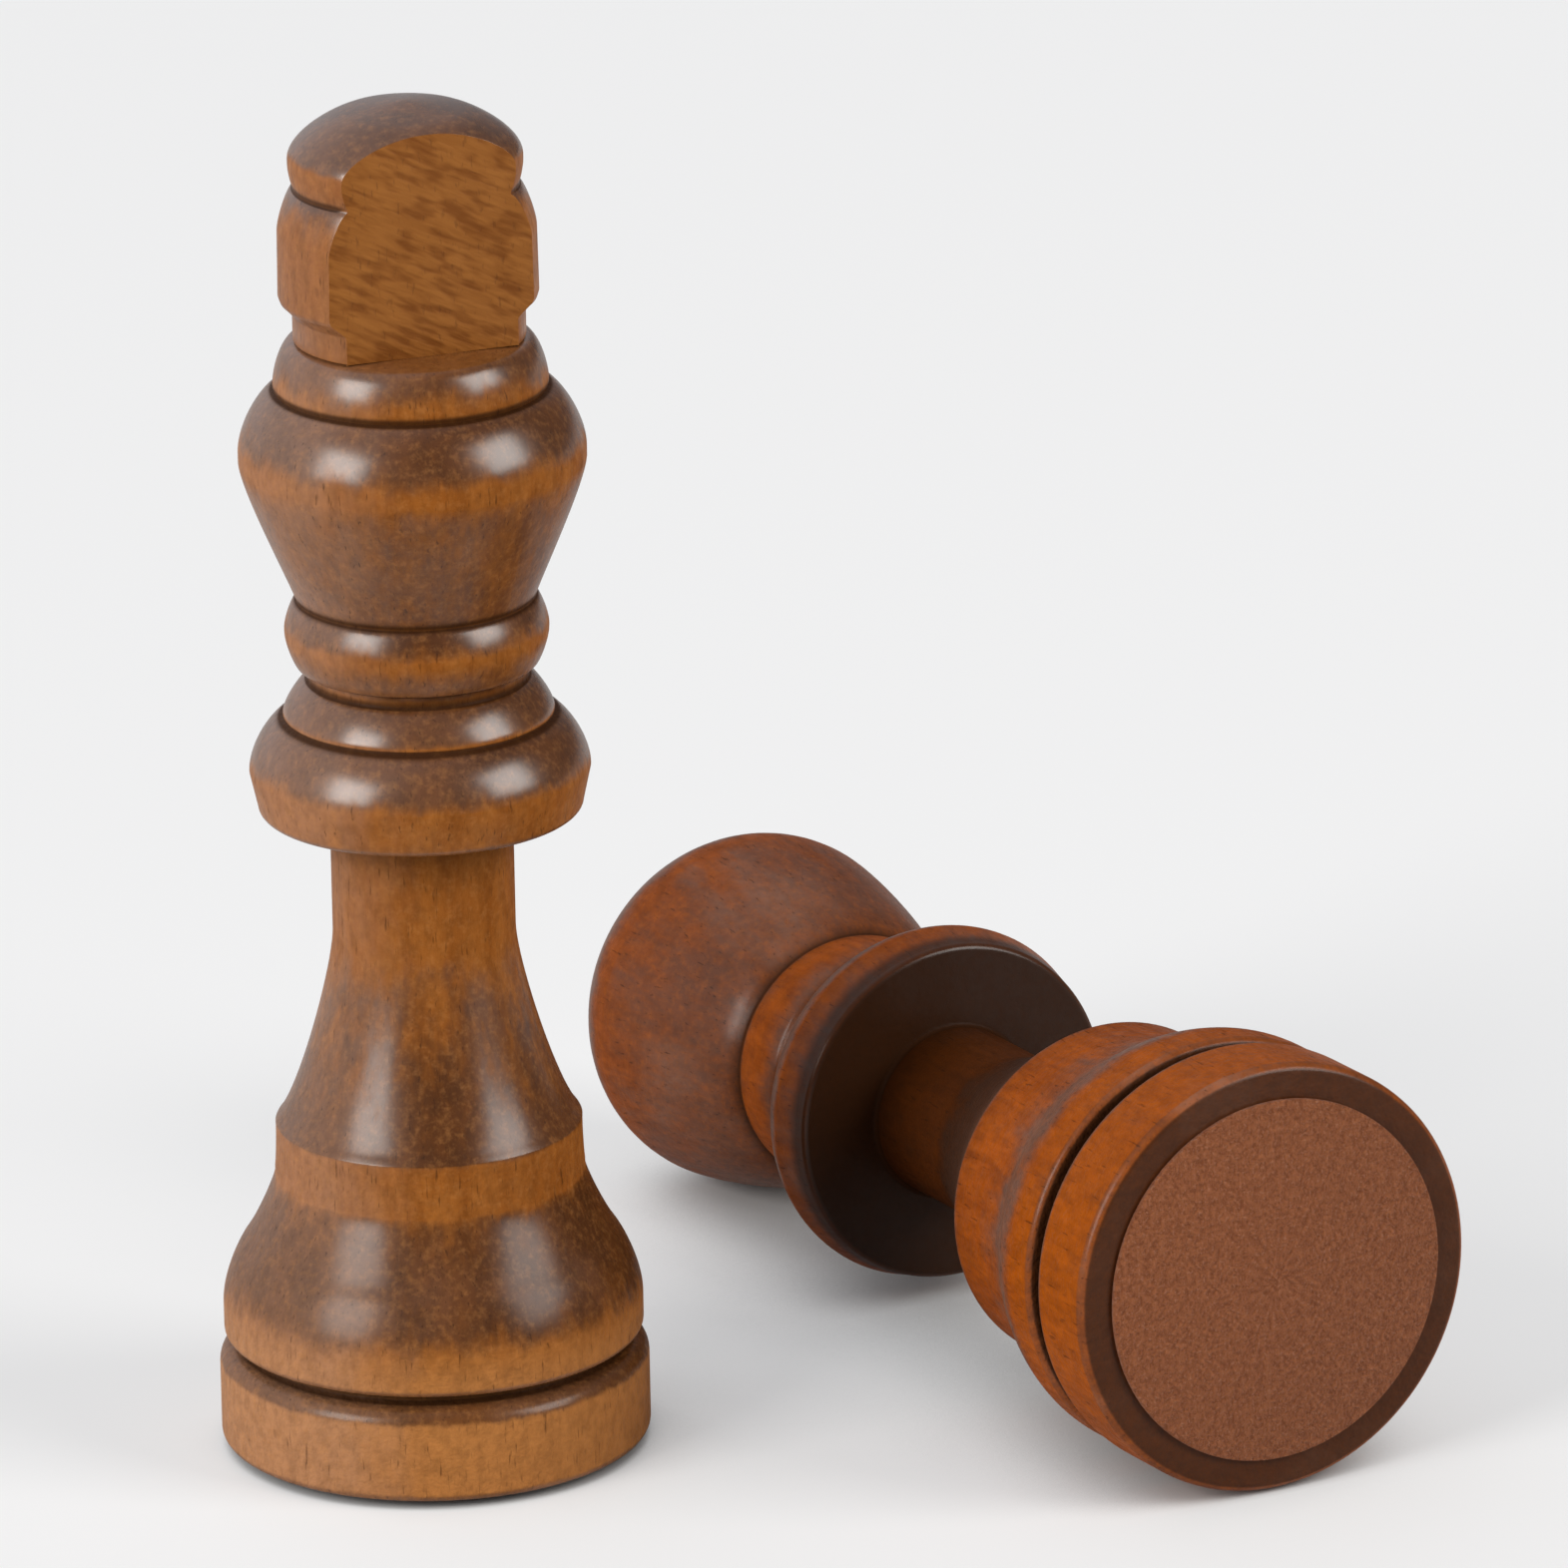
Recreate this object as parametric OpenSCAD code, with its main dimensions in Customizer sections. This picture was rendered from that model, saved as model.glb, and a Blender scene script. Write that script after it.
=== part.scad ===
// Turned chess king, standing, and turned chess queen, lying on its side.
// Millimetres. The origin is on the floor, in the middle of the king's base, with +Z up.
// Each piece is drawn upright on its own axis, with its felt on z = 0, and the queen is
// then laid down so that its base disc and the rim of its crown both touch the floor.

/* [Base of both pieces] */
// Diameter of the king's base disc
king_base_d = 25.3; // [24:0.1:28]
// Diameter of the queen's base disc
queen_base_d = 25.9; // [24.5:0.1:28]
// Height of the base disc, from its underside to its top edge
base_h = 5.75; // [4:0.05:7]
// Radius of the rounded lower edge of the base disc
base_edge_r = 0.6; // [0.4:0.1:1.4]
// Radius of the rounded upper edge of the base disc
disc_round = 1.15; // [0.6:0.05:1.6]
// Height of the turned groove above the base disc
groove_h = 0.65; // [0.4:0.05:1.5]
// Depth of the groove, measured from the ring above it
groove_depth = 1.1; // [0.8:0.05:1.8]
// Diameter of the ring above the king's groove
king_ring_d = 24.7; // [22:0.1:25.2]
// Diameter of the ring above the queen's groove
queen_ring_d = 25.6; // [22.5:0.1:25.8]
// Radius of the ring's rounded lower edge
ring_edge_r = 0.5; // [0.3:0.05:0.8]
// Height of the ring, from the groove to its widest line
ring_h = 2; // [0.9:0.1:3]
// Height of the swell that turns the ring over into the flare
swell_h = 3.8; // [2:0.1:5]
// How much the radius closes over the swell
swell_in = 1.35; // [0.6:0.05:2]
// Height of the flare between the swell and the band
flare_h = 4.2; // [3:0.1:7]
// Height of the band above the flare
band_h = 3.1; // [2:0.1:5]
// How much the band's radius closes from its foot to its top
band_taper = 0.1; // [0:0.05:0.6]

/* [Felt and weight] */
// Thickness of the felt disc under each piece
felt_h = 0.4; // [0.3:0.1:1.5]
// Diameter of the felt disc
felt_d = 21.8; // [19:0.1:22.5]
// Diameter of the metal slug in each base
weight_d = 12; // [8:0.5:13]
// Length of the metal slug
weight_h = 12; // [8:0.5:14]
// Gap between a glued-in piece and its bore, all round
glue_gap = 0.05; // [0.02:0.01:0.1]
// Empty length past the end of a glued-in piece
bore_spare = 0.3; // [0.1:0.1:0.8]

/* [King] */
// Height of the king over all
king_height = 81.9; // [79:0.1:90]
// Diameter of the king's band at its foot
king_band_d = 18.2; // [16:0.1:19.5]
// Diameter of the king's stem
king_stem_d = 10.7; // [9:0.1:12]
// Height of the king's bell, from the band to the straight stem
king_bell_h = 11.9; // [9:0.1:14]
// Diameter of the king's collar
king_collar_d = 19.9; // [18:0.1:22]
// Diameter of the neck above the king's collar
king_neck_d = 13; // [12.5:0.1:14]
// Diameter of the bead under the king's head
king_bead_d = 15.4; // [15:0.1:16.5]
// Diameter of the king's head
king_head_d = 20.2; // [18.5:0.1:22]
// Height of the lower, widening part of the king's head
king_head_low_h = 8.6; // [7:0.1:11]
// Depth of the crease between the king's bead and its head
king_crease = 0.75; // [0.5:0.05:0.9]
// Height of the upper, closing part of the king's head
king_head_top_h = 4.2; // [3.5:0.1:6]
// Diameter of the top bead on the king's head
king_cap_d = 16; // [15.3:0.1:16.5]
// Height of the top bead
king_cap_h = 2.9; // [2:0.1:4]

/* [King's finial] */
// Diameter of the finial at its arms
arm_d = 15.1; // [14.4:0.1:15.2]
// Height of the arms, over their outer corners
arm_h = 4.9; // [3:0.1:6]
// Diameter in the notch below the arms
low_notch_d = 13.5; // [12.5:0.1:14]
// Height from the foot of the finial to the lower corners of the arms
low_notch_h = 2.5; // [2:0.1:4]
// Height of the slope under the arms
arm_slope_h = 0.9; // [0.3:0.1:1.5]
// Diameter in the notch above the arms
top_notch_d = 13.1; // [12:0.1:13.4]
// Height from the upper corners of the arms to the notch above them
top_notch_h = 1.7; // [1:0.1:3]
// Diameter of the dome
dome_d = 13.6; // [13.5:0.1:14.5]
// Height of the dome above the notch
dome_h = 5; // [4.5:0.1:7]
// Distance between the two sawn faces of the finial
slab_t = 8.6; // [6:0.1:10]
// Turn of the sawn faces about the king's axis
slab_turn = 18; // [0:1:90]
// Diameter of the tenon under the finial
tenon_d = 5; // [3:0.1:6]
// Length of the tenon
tenon_h = 6; // [3:0.5:9]

/* [Queen] */
// Height of the queen over all, when it stands
queen_height = 75.6; // [72:0.1:84]
// Diameter of the queen's band at its foot
queen_band_d = 20.9; // [17:0.1:21.8]
// Diameter of the queen's stem
queen_stem_d = 10.4; // [9:0.1:12]
// Height of the queen's bell, from the band to the straight stem
queen_bell_h = 11.9; // [9:0.1:14]
// Diameter of the queen's collar
queen_collar_d = 21.7; // [19:0.1:23]
// Diameter of the neck above the queen's collar
queen_neck_d = 14.6; // [14:0.1:15]
// Diameter of the low bead under the crown
queen_bead_d = 15.7; // [15.4:0.1:17]
// Depth of the crease between the queen's bead and its crown
queen_crease = 0.25; // [0.1:0.05:0.6]
// Diameter of the crown at its rim
crown_d = 21.7; // [20:0.1:23]
// Height of the crown, from the bead to its widest line
crown_h = 11.9; // [9:0.1:15]
// Radius of the crown's rounded rim
crown_rim_r = 6.2; // [2:0.1:7]
// Height of the low dome inside the rim
crown_dome_h = 1.8; // [1:0.1:3]
// Diameter of the ball on the crown
ball_d = 4.4; // [3.5:0.1:5.5]
// Diameter of the tenon under the ball
pip_d = 2; // [1.5:0.1:2.4]
// Length of the tenon under the ball
pip_h = 4; // [2:0.5:6]

/* [Collar and bead of both pieces] */
// Height from the collar's flat underside to its widest line
collar_low_h = 2.5; // [1.6:0.1:3.5]
// Radius of the collar's rounded lower edge
collar_edge_r = 0.45; // [0.3:0.05:0.9]
// How much the collar's radius closes from its widest line to its lower edge
collar_taper = 0.45; // [0:0.05:0.8]
// How far the underside is dished towards the stem
collar_dish = 0.35; // [0.1:0.05:0.6]
// Height of the collar's rounded top
collar_top_h = 3.35; // [1.8:0.05:4]
// Height of the shoulder above the collar
shoulder_h = 2.2; // [2:0.1:4]
// Step from the collar's widest line to the foot of the shoulder, on the radius
shoulder_step = 2.1; // [1.2:0.05:2.2]
// Height of the hollow neck between the shoulder and the bead
neck_h = 0.9; // [0.5:0.1:2]
// Height of the bead under the head or crown
bead_h = 4.05; // [3:0.05:5]

/* [Curves, each as radius and height, in mm: a longer lead holds the curve to it longer] */
// Lead of the flare out of the swell
flare_lead = [-1.8, 2.5]; // [-4:0.1:4]
// Lead of the bell out of the band
bell_lead = [-3.9, 4.3]; // [-5:0.1:6]
// Lead of the king's head out of its crease
head_lead = [1.2, 3.4]; // [0.5:0.1:5]
// Lead of the queen's crown out of its crease
crown_lead = [5, 4.6]; // [0.5:0.1:6]
// Width of the small step where two turned forms meet
step_w = 0.3; // [0.2:0.05:0.35]

/* [Layout] */
// Place of the queen's felt from the king's axis, to the right
queen_x = 49; // [40:0.5:80]
// Place of the queen's felt from the king's axis, towards the back
queen_y = -13.1; // [-40:0.1:20]
// Turn of the queen's axis about the vertical, from +X
queen_turn = 117.1; // [60:0.1:120]

/* [Hidden] */
$fn = 96;

wood = [0.42, 0.21, 0.08];
felt = [0.44, 0.23, 0.16];
metal = [0.42, 0.43, 0.45];
steps = 8;                      // straight pieces in a curved stretch of an outline
sliver = 1;                     // how far a cutting solid runs past the face it opens

disc_top_z = felt_h + base_h;
disc_side_z = disc_top_z - disc_round;
ring_z = disc_top_z + groove_h;
swell_z = ring_z + ring_h;
flare_z = swell_z + swell_h;
band_z = flare_z + flare_h;
bell_z = band_z + band_h;
collar_stack_h = collar_low_h + collar_top_h + shoulder_h + neck_h + bead_h;

// A curved stretch from point a to point b. It leaves a along the vector u and reaches b
// along the vector v, and a longer vector holds the curve to its direction for longer.
function stretch(a, u, b, v, n = steps) =
    [for (i = [0:n]) let (t = i / n)
        (2 * pow(t, 3) - 3 * pow(t, 2) + 1) * a + (pow(t, 3) - 2 * pow(t, 2) + t) * u +
        (-2 * pow(t, 3) + 3 * pow(t, 2)) * b + (pow(t, 3) - pow(t, 2)) * v];

// Points on a circle about c, from angle from_a to angle to_a
function arc(c, r, from_a, to_a, n = steps) =
    [for (i = [0:n]) let (a = from_a + (to_a - from_a) * i / n) c + r * [cos(a), sin(a)]];

// Outlines run upwards, each as [radius, height] from the piece's own floor.

// Base disc, groove, ring, swell, flare and band
function base_line(base_r, ring_r, band_r) =
    let (groove_r = ring_r - groove_depth)
    concat(
    [[0, felt_h]],
    arc([base_r - base_edge_r, felt_h + base_edge_r], base_edge_r, -90, 0),
    arc([base_r - disc_round, disc_side_z], disc_round, 0, 90),
    [[groove_r, disc_top_z + groove_h * 0.2]],
    [[groove_r, ring_z - groove_h * 0.2]],
    arc([ring_r - ring_edge_r, ring_z + ring_edge_r], ring_edge_r, -90, 0),
    stretch([ring_r, swell_z], [0, swell_h * 0.9],
            [ring_r - swell_in, flare_z], flare_lead),
    stretch([ring_r - swell_in - 0.05, flare_z + 0.08], flare_lead,
            [band_r, band_z], [-0.2, flare_h / 2]),
    stretch([band_r, band_z + step_w], [-0.2, band_h * 0.4],
            [band_r - band_taper, bell_z], [0.1, band_h * 0.4], 4));

// Bell and straight stem, up to height collar_z, where the stem enters the collar
function stem_line(band_r, stem_r, bell_h, collar_z) = concat(
    stretch([band_r - band_taper - 0.05, bell_z + 0.1], bell_lead,
            [stem_r, bell_z + bell_h], [0, bell_h * 0.6], 12),
    arc([stem_r + collar_dish, collar_z], collar_dish, 180, 90, 4));

// Collar, shoulder, neck and bead. The collar's flat underside is at height z.
function collar_line(z, stem_r, collar_r, neck_r, bead_r, crease) =
    let (widest_z = z + collar_low_h,
         crease_z = widest_z + collar_top_h,
         neck_z = crease_z + shoulder_h,
         bead_z = neck_z + neck_h,
         foot_r = collar_r - collar_taper,
         crease_r = collar_r - shoulder_step)
    concat(
        arc([foot_r - collar_edge_r, z + collar_edge_r], collar_edge_r, -90, 0, 5),
        stretch([collar_r, widest_z], [0, collar_top_h],
                [crease_r, crease_z], [-3.2, 1.2]),
        stretch([crease_r + 0.05, crease_z + 0.1], [0.3, 0.9],
                [neck_r, neck_z], [-1.6, 0.6]),
        stretch([neck_r - 0.05, neck_z + 0.15], [-0.15, 0.4],
                [neck_r + 0.1, bead_z - 0.1], [0.3, 0.3], 4),
        stretch([(neck_r + bead_r) / 2 - 0.1, bead_z], [0.7, 0.5],
                [bead_r, bead_z + bead_h * 0.5], [0, 1.8], 6),
        stretch([bead_r, bead_z + bead_h * 0.55], [0, 1],
                [bead_r - crease, bead_z + bead_h], [-1.4 * crease, 0.5], 6));

king_band_r = king_band_d / 2;
king_stem_r = king_stem_d / 2;
finial_z = king_height - dome_h - top_notch_h - arm_h - low_notch_h;
king_cap_z = finial_z - king_cap_h;
king_widest_z = king_cap_z - king_head_top_h;
king_head_z = king_widest_z - king_head_low_h;
king_collar_z = king_head_z - collar_stack_h;
king_crease_r = king_bead_d / 2 - king_crease;

// Head and top bead of the king
function king_head_line() =
    let (head_r = king_head_d / 2, cap_r = king_cap_d / 2)
    concat(
        stretch([king_crease_r + 0.1, king_head_z + 0.2], head_lead,
                [head_r, king_widest_z - step_w], [0.3, king_head_low_h / 2]),
        stretch([head_r, king_widest_z + step_w], [0, 4.4],
                [cap_r - 0.1, king_cap_z - 0.1], [-2.6, 0.5]),
        stretch([cap_r, king_cap_z + 0.1], [0, king_cap_h * 0.85],
                [low_notch_d / 2 + 0.1, finial_z - 0.1], [-2, 0.4]),
        [[0, finial_z]]);

queen_base_r = queen_base_d / 2;
queen_band_r = queen_band_d / 2;
queen_stem_r = queen_stem_d / 2;
crown_r = crown_d / 2;
crown_top_z = queen_height - ball_d - crown_dome_h;
crown_widest_z = crown_top_z - crown_rim_r;
crown_z = crown_widest_z - crown_h;
queen_collar_z = crown_z - collar_stack_h;
queen_crease_r = queen_bead_d / 2 - queen_crease;

rim_from = 6;                   // degrees, where the rim's arc starts and ends
rim_to = 84;

// Crown of the queen: a trumpet, a rounded rim and a low dome
function crown_line() = concat(
    stretch([queen_crease_r + 0.1, crown_z + 0.2], crown_lead,
            [crown_r, crown_widest_z], [0, 4]),
    arc([crown_r - crown_rim_r, crown_widest_z], crown_rim_r, rim_from, rim_to),
    stretch([crown_r - crown_rim_r - 0.6, crown_top_z], [-2, 0.1],
            [0, crown_top_z + crown_dome_h], [-4, 0]));

module king_body() color(wood) difference() {
    rotate_extrude()
        polygon(concat(
            base_line(king_base_d / 2, king_ring_d / 2, king_band_r),
            stem_line(king_band_r, king_stem_r, king_bell_h, king_collar_z),
            collar_line(king_collar_z, king_stem_r, king_collar_d / 2,
                        king_neck_d / 2, king_bead_d / 2, king_crease),
            king_head_line()));
    weight_bore();
    translate([0, 0, finial_z - tenon_h - bore_spare])
        cylinder(d = tenon_d + 2 * glue_gap, h = tenon_h + bore_spare + sliver);
}

// Outline of the finial as it leaves the lathe, from its foot upwards
function finial_line() =
    let (arm_low_z = finial_z + low_notch_h,
         arm_top_z = arm_low_z + arm_h,
         notch_z = arm_top_z + top_notch_h,
         arm_r = arm_d / 2,
         dome_r = dome_d / 2,
         top_z = notch_z + dome_h)
    concat(
        [[0, finial_z]],
        [[low_notch_d / 2, finial_z]],
        stretch([low_notch_d / 2, arm_low_z - arm_slope_h], [0.1, 0.3],
                [arm_r - 0.1, arm_low_z - 0.1], [0.4, 0.3], 4),
        [[arm_r, arm_low_z + 0.2]],
        stretch([arm_r - 0.05, arm_top_z - 0.9], [0, 1.6],
                [top_notch_d / 2, notch_z], [-1.2, 0.8]),
        stretch([top_notch_d / 2, notch_z + 0.15], [0.4, 0.9],
                [dome_r, notch_z + dome_h * 0.28], [0, 0.9], 5),
        stretch([dome_r, notch_z + dome_h * 0.34], [0, 2.9],
                [dome_r * 0.62, top_z - dome_h * 0.17], [-2.6, 1.2]),
        stretch([dome_r * 0.55, top_z - dome_h * 0.13], [-2, 0.7],
                [0, top_z], [-2, 0], 5));

module king_finial() color(wood) union() {
    intersection() {
        rotate_extrude()
            polygon(finial_line());
        rotate([0, 0, slab_turn])
            translate([-arm_d, -slab_t / 2, 0])
                cube([2 * arm_d, slab_t, 2 * finial_z]);
    }
    translate([0, 0, finial_z - tenon_h])
        cylinder(d = tenon_d, h = tenon_h + low_notch_h);
}

// The bore for the slug, open at the underside of the base
module weight_bore()
    translate([0, 0, felt_h - sliver])
        cylinder(d = weight_d + 2 * glue_gap, h = weight_h + bore_spare + sliver);

module slug() color(metal)
    translate([0, 0, felt_h])
        cylinder(d = weight_d, h = weight_h);

module felt_disc() color(felt)
    cylinder(d = felt_d, h = felt_h);

module king_weight() slug();

module king_felt() felt_disc();

// The queen leans on the rounded upper edge of its base disc and on its crown's rounded rim.
// lean is the slope at which one straight line touches both circles.
disc_in_r = queen_base_r - disc_round;
lean_dz = crown_widest_z - disc_side_z;
lean_dr = disc_in_r - (crown_r - crown_rim_r);
lean = atan2(lean_dr, lean_dz) - asin((crown_rim_r - disc_round) / norm([lean_dz, lean_dr]));
queen_h = disc_side_z * sin(lean) + disc_in_r * cos(lean) + disc_round;

module laid_down()
    translate([queen_x, queen_y, queen_h])
        rotate([0, 90 + lean, queen_turn])
            children();

module queen_body() color(wood) laid_down() difference() {
    rotate_extrude()
        polygon(concat(
            base_line(queen_base_r, queen_ring_d / 2, queen_band_r),
            stem_line(queen_band_r, queen_stem_r, queen_bell_h, queen_collar_z),
            collar_line(queen_collar_z, queen_stem_r, queen_collar_d / 2,
                        queen_neck_d / 2, queen_bead_d / 2, queen_crease),
            crown_line()));
    weight_bore();
    translate([0, 0, crown_top_z + crown_dome_h - pip_h - bore_spare])
        cylinder(d = pip_d + 2 * glue_gap, h = pip_h + bore_spare + sliver);
}

module queen_finial() color(wood) laid_down() union() {
    ball_z = crown_top_z + crown_dome_h + ball_d / 2;
    translate([0, 0, ball_z])
        sphere(d = ball_d);
    translate([0, 0, crown_top_z + crown_dome_h - pip_h])
        cylinder(d = pip_d, h = pip_h + ball_d / 2);
}

module queen_weight() laid_down() slug();

module queen_felt() laid_down() felt_disc();

king_body();
king_finial();
king_weight();
king_felt();
queen_body();
queen_finial();
queen_weight();
queen_felt();
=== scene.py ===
# %% [markdown]
# # A turned chess king and queen
# Two wooden chess pieces on a pale floor: a king that stands and a queen that lies on its
# side, with the felt under its base towards the camera. Both were turned on a lathe, stained
# brown and lacquered. This lesson spins each outline round its axis, as the lathe did, and
# spends most of its care on the wood: the grain that runs along the axis, the stain that
# sank deep where the grain ends, and the lacquer that mirrors two soft lamps.

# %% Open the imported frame
import math
from collections import namedtuple
from types import SimpleNamespace

import bmesh
import bpy
from mathutils import Euler, Matrix, Vector


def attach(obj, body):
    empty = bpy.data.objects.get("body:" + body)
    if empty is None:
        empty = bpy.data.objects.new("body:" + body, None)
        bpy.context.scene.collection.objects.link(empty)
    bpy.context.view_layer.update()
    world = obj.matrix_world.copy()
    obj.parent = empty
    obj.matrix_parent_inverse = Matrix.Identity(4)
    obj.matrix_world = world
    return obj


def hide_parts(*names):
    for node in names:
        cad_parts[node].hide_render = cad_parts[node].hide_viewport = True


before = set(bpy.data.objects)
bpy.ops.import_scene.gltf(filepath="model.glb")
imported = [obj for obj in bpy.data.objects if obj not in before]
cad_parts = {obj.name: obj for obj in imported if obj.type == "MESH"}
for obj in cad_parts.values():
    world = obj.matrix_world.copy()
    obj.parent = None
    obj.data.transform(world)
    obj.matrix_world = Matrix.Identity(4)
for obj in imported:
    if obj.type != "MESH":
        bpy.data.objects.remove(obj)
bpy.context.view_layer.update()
MM = 0.001
ORIGIN = (0, 0, 0)
print("CAD nodes:", sorted(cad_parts))

# %% [markdown]
# ## The camera
# The photograph was taken with a long lens from about a metre away, a little above the
# pieces. A long lens keeps the outlines nearly parallel, so the focal length here is long
# as well. The three directions of the camera are written out, and Blender gets them as the
# columns of a rotation matrix.

# %% Camera
CAMERA_PLACE = Vector((0.0, -0.89764, 0.34433))
CAMERA_YAW = math.radians(1.35)
CAMERA_PITCH = math.radians(18.73)
CAMERA_ROLL = math.radians(-1.0)
FOCAL_LENGTH, SENSOR_WIDTH = 373.6, 36


def camera_turn(yaw, pitch, roll):
    flat = math.cos(pitch)
    forward = Vector((math.sin(yaw) * flat, math.cos(yaw) * flat, -math.sin(pitch)))
    level = Vector((math.cos(yaw), -math.sin(yaw), 0.0))
    above = level.cross(forward)
    right = math.cos(roll) * level + math.sin(roll) * above
    up = -math.sin(roll) * level + math.cos(roll) * above
    return Matrix((right, up, -forward)).transposed()


lens = bpy.data.cameras.new("camera")
lens.lens = FOCAL_LENGTH
lens.sensor_width = SENSOR_WIDTH
lens.clip_start = 0.05
camera = bpy.data.objects.new("camera", lens)
facing = camera_turn(CAMERA_YAW, CAMERA_PITCH, CAMERA_ROLL)
camera.matrix_world = Matrix.Translation(CAMERA_PLACE) @ facing.to_4x4()
bpy.context.collection.objects.link(camera)
bpy.context.scene.camera = camera
bpy.context.scene.view_settings.view_transform = "Standard"
print("camera at", tuple(round(v, 3) for v in camera.location))

# %% [markdown]
# ## Shader maths as Python
# A material is a graph of nodes, and a graph is hard to read in code. The first class wraps
# one socket, so that `1 - mask` or `a * b` adds the Math node by itself. The second holds
# the graph, and every other kind of node comes from its one method, which takes the node's
# settings and its sockets.

# %% A socket that does maths
class Value:
    def __init__(self, graph, socket):
        self.graph = graph
        self.socket = socket

    def math(self, operation, *others):
        return self.graph.math(operation, self, *others)

    def __add__(self, other):
        return self.math("ADD", other)

    def __mul__(self, other):
        return self.math("MULTIPLY", other)

    def __sub__(self, other):
        return self.math("SUBTRACT", other)

    def __rsub__(self, other):
        return self.graph.math("SUBTRACT", other, self)

    __radd__ = __add__
    __rmul__ = __mul__

    def between(self, low, high):
        """0 below low, 1 above high, and smooth between them."""
        ends = {"Value": self, "From Min": low, "From Max": high}
        return self.graph.node("ShaderNodeMapRange", {"interpolation_type": "SMOOTHSTEP"}, ends)


# %% A graph of nodes
# A Mix node has sockets for every kind of data, and these are its sockets for colours.
MIX_FACTOR, MIX_FIRST, MIX_SECOND, MIX_COLOUR = 0, 6, 7, 2


class Graph:
    def __init__(self, tree):
        self.tree = tree
        self.tree.nodes.clear()

    def node(self, kind, settings=None, sockets=None, output=0):
        """Adds a node: first its settings, then the value or the link of each socket."""
        made = self.tree.nodes.new(kind)
        for key, setting in (settings or {}).items():
            setattr(made, key, setting)
        for key, value in (sockets or {}).items():
            if isinstance(value, Value):
                self.tree.links.new(value.socket, made.inputs[key])
            else:
                made.inputs[key].default_value = value
        return Value(self, made.outputs[output]) if made.outputs else made

    def math(self, operation, *numbers):
        return self.node("ShaderNodeMath", {"operation": operation}, dict(enumerate(numbers)))

    def part(self, vector, axis):
        return self.node("ShaderNodeSeparateXYZ", None, {0: vector}, output=axis)

    def vector(self, operation, first, second, output=0):
        sockets = {0: first, 1: second}
        return self.node("ShaderNodeVectorMath", {"operation": operation}, sockets, output)

    def mix(self, factor, first, second):
        sockets = {MIX_FACTOR: factor, MIX_FIRST: first, MIX_SECOND: second}
        return self.node("ShaderNodeMix", {"data_type": "RGBA"}, sockets, output=MIX_COLOUR)


# %% [markdown]
# A material's graph also knows the axis of the piece that it covers: the point where that
# axis leaves the base, and how it is turned. The king stands upright at the origin and the
# queen lies elsewhere, but a pattern is always written for an upright piece, in millimetres.

# %% One material's graph
class Shader(Graph):
    def __init__(self, name, centre=ORIGIN, turn=ORIGIN):
        self.material = bpy.data.materials.new(name)
        self.material.use_nodes = True
        super().__init__(self.material.node_tree)
        self.centre = centre
        self.turn = turn

    def upright(self, output, centre, turn, scale):
        raw = self.node("ShaderNodeTexCoord", output=output)
        sockets = {"Vector": raw, "Location": centre, "Rotation": turn, "Scale": (scale,) * 3}
        return self.node("ShaderNodeMapping", {"vector_type": "TEXTURE"}, sockets)

    def place(self, turn=None):
        """Object coordinates in millimetres, moved back to the piece's own upright axis."""
        return self.upright("Object", self.centre, turn or self.turn, MM)

    def faces_up(self):
        """1 where the surface faces up along that axis, and -1 where it faces down."""
        return self.part(self.upright("Normal", ORIGIN, self.turn, 1.0), "Z")

    def stretched(self, vector, x, y, z):
        return self.vector("MULTIPLY", vector, (x, y, z))

    def noise(self, vector, scale, detail=2.0, roughness=0.5):
        sockets = {"Vector": vector, "Scale": scale, "Detail": detail, "Roughness": roughness}
        return self.node("ShaderNodeTexNoise", None, sockets)

    def attribute(self, name):
        return self.node("ShaderNodeAttribute", {"attribute_name": name}, output="Fac")

    def bump(self, height, depth, strength=1.0):
        """Depth is in millimetres."""
        sockets = {"Height": height, "Distance": depth * MM, "Strength": strength}
        return self.node("ShaderNodeBump", None, sockets)

    def finish(self, **sockets):
        named = {key.replace("_", " "): value for key, value in sockets.items()}
        surface = self.node("ShaderNodeBsdfPrincipled", None, named)
        self.node("ShaderNodeOutputMaterial", None, {"Surface": surface})
        return self.material


print("shader helpers ready")

# %% [markdown]
# ## Stained and lacquered wood
# The stick that each piece was turned from has its grain along the axis. Three things
# follow from that. The growth rings are nearly flat sheets that the outline cuts, so they
# show as long streaks on a straight side and as arcs on a bulge. The pores are short dark
# lines on the sides and dots where the grain ends. And the stain sinks in where the grain
# ends, so what faces up or down comes out a dark brown and what stands upright stays amber.
# The graph is built from these causes, so it holds from every side. Some light and shade is painted
# on top of them: a painted reflection of the pale room on the end grain, a left side made paler as
# painted light, and painted shade in creases, under downward faces and on the queen's stem.
#
# The grain comes first. Every pattern is the same noise, squeezed across the stick and
# drawn out along it, and a seed moves each piece to another place in the wood.

# %% Grain of the stick
# The heart of the tree stood this far from the axis, in millimetres.
HEART_X, HEART_Y = 26, 9
# The rings are a sine of the way from the heart: 2.6 radians a millimetre, or 2.4 mm a ring.
RING_RATE, RING_DRIFT = 2.6, 9.0


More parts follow.
